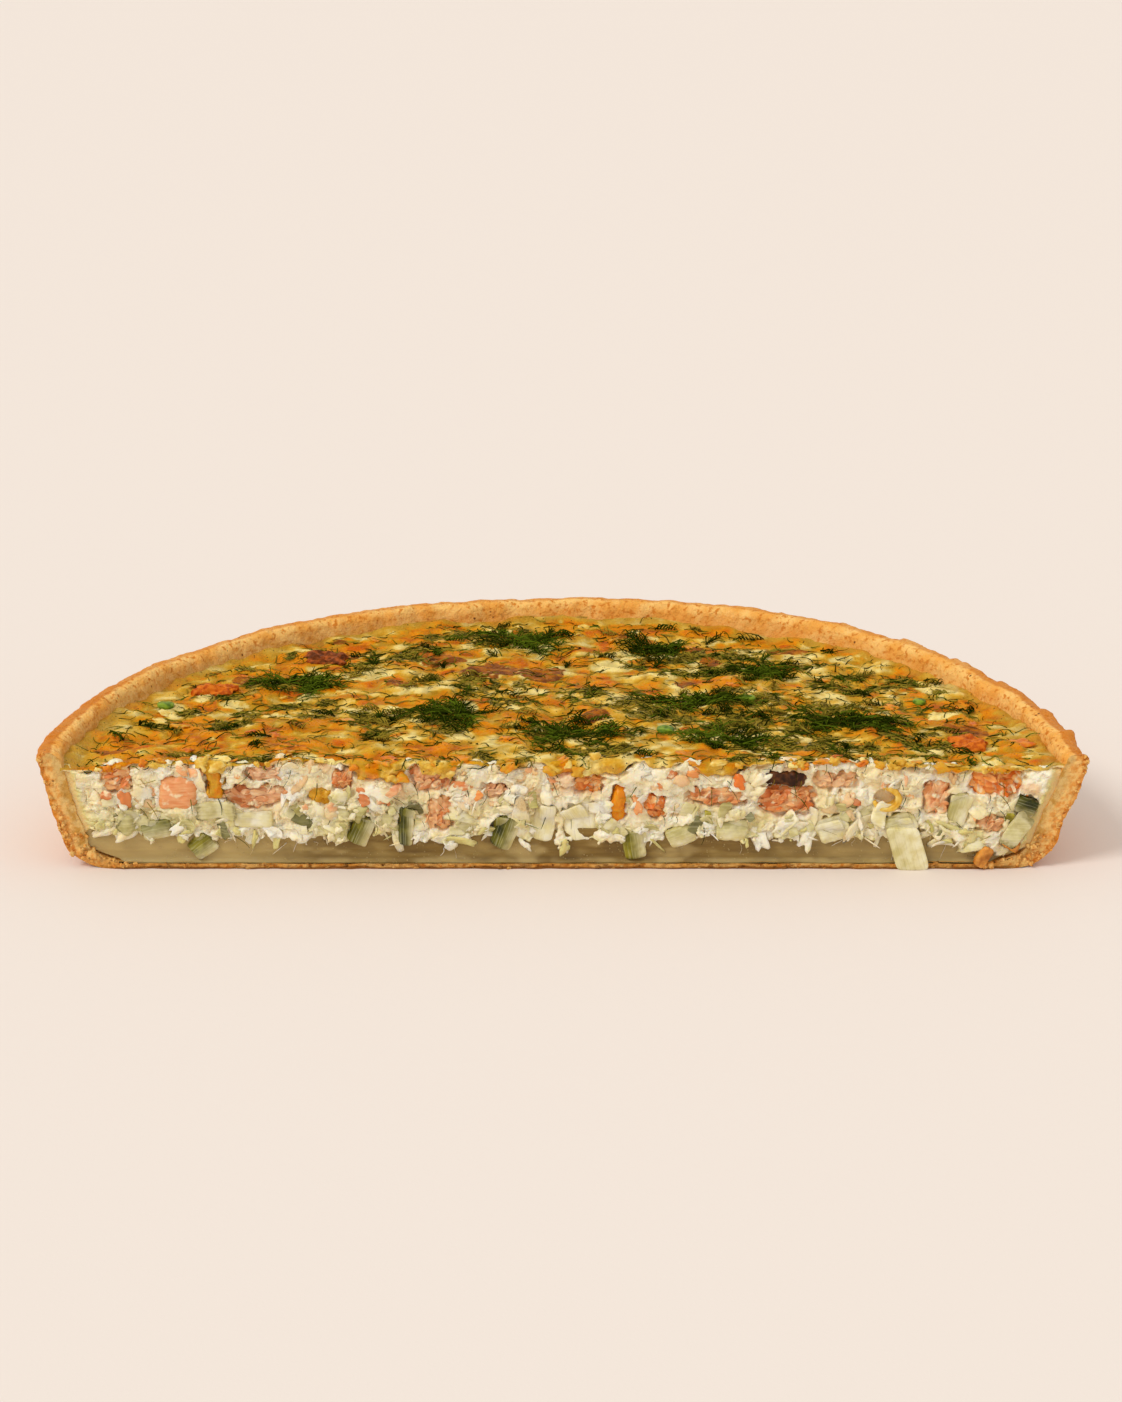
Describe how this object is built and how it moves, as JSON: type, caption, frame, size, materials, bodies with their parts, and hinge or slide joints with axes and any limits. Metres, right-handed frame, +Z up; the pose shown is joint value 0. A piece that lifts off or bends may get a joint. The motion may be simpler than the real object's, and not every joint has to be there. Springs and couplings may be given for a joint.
{
  "type": "half quiche",
  "caption": "Half of a round baked quiche, cut straight across: pastry shell, clear set base, curdled filling with salmon and leek, browned cheese top with dill.",
  "frame": {"origin": "under the middle of the half quiche's box, on the table", "axes": "+Z up, +X along the straight cut, the cut face looks along -Y and the round side along +Y"},
  "size_m": [0.2501, 0.1277, 0.0296],
  "materials": {
    "pastry": "baked, dry",
    "set_base": "moist, slightly clear",
    "curd": "moist, crumbly",
    "browned_cheese": "baked, slightly oily",
    "salmon": "moist, flaky",
    "baked_salmon": "baked, oily",
    "leek": "moist, fibrous",
    "cheese": "melted",
    "mushroom": "cooked",
    "onion": "clear, moist",
    "dill": "dried by baking",
    "green_leaf": "baked leaf"
  },
  "bodies": {
    "root": {"crust": "pastry", "set_base": "set_base", "filling": "curd", "cheese_top": "browned_cheese", "leek_hanging": "leek", "onion_2": "onion", "mushroom": "mushroom", "salmon_1": "salmon", "salmon_2": "salmon", "salmon_3": "salmon", "salmon_4": "salmon", "salmon_5": "salmon", "salmon_6": "salmon", "salmon_7": "salmon", "salmon_8": "salmon", "salmon_9": "salmon", "salmon_10": "salmon", "salmon_11": "salmon", "salmon_12": "salmon", "salmon_13": "salmon", "salmon_14": "salmon", "salmon_15": "salmon", "salmon_16": "salmon", "leek_1": "leek", "leek_2": "leek", "leek_3": "leek", "leek_4": "leek", "leek_5": "leek", "leek_6": "leek", "leek_7": "leek", "leek_8": "leek", "leek_9": "leek", "leek_10": "leek", "leek_11": "leek", "leek_12": "leek", "leek_13": "leek", "leek_14": "leek", "leek_15": "leek", "cheese_1": "cheese", "cheese_2": "cheese", "cheese_3": "cheese", "cheese_4": "cheese", "onion_1": "onion", "top_salmon_1": "baked_salmon", "top_salmon_2": "baked_salmon", "top_salmon_3": "baked_salmon", "top_green_1": "green_leaf", "top_green_2": "green_leaf", "top_green_3": "green_leaf", "top_green_4": "green_leaf", "dill_1": "dill", "dill_2": "dill", "dill_3": "dill", "dill_4": "dill", "dill_5": "dill", "dill_6": "dill", "dill_7": "dill", "dill_8": "dill", "dill_9": "dill"}
  },
  "joints": []
}
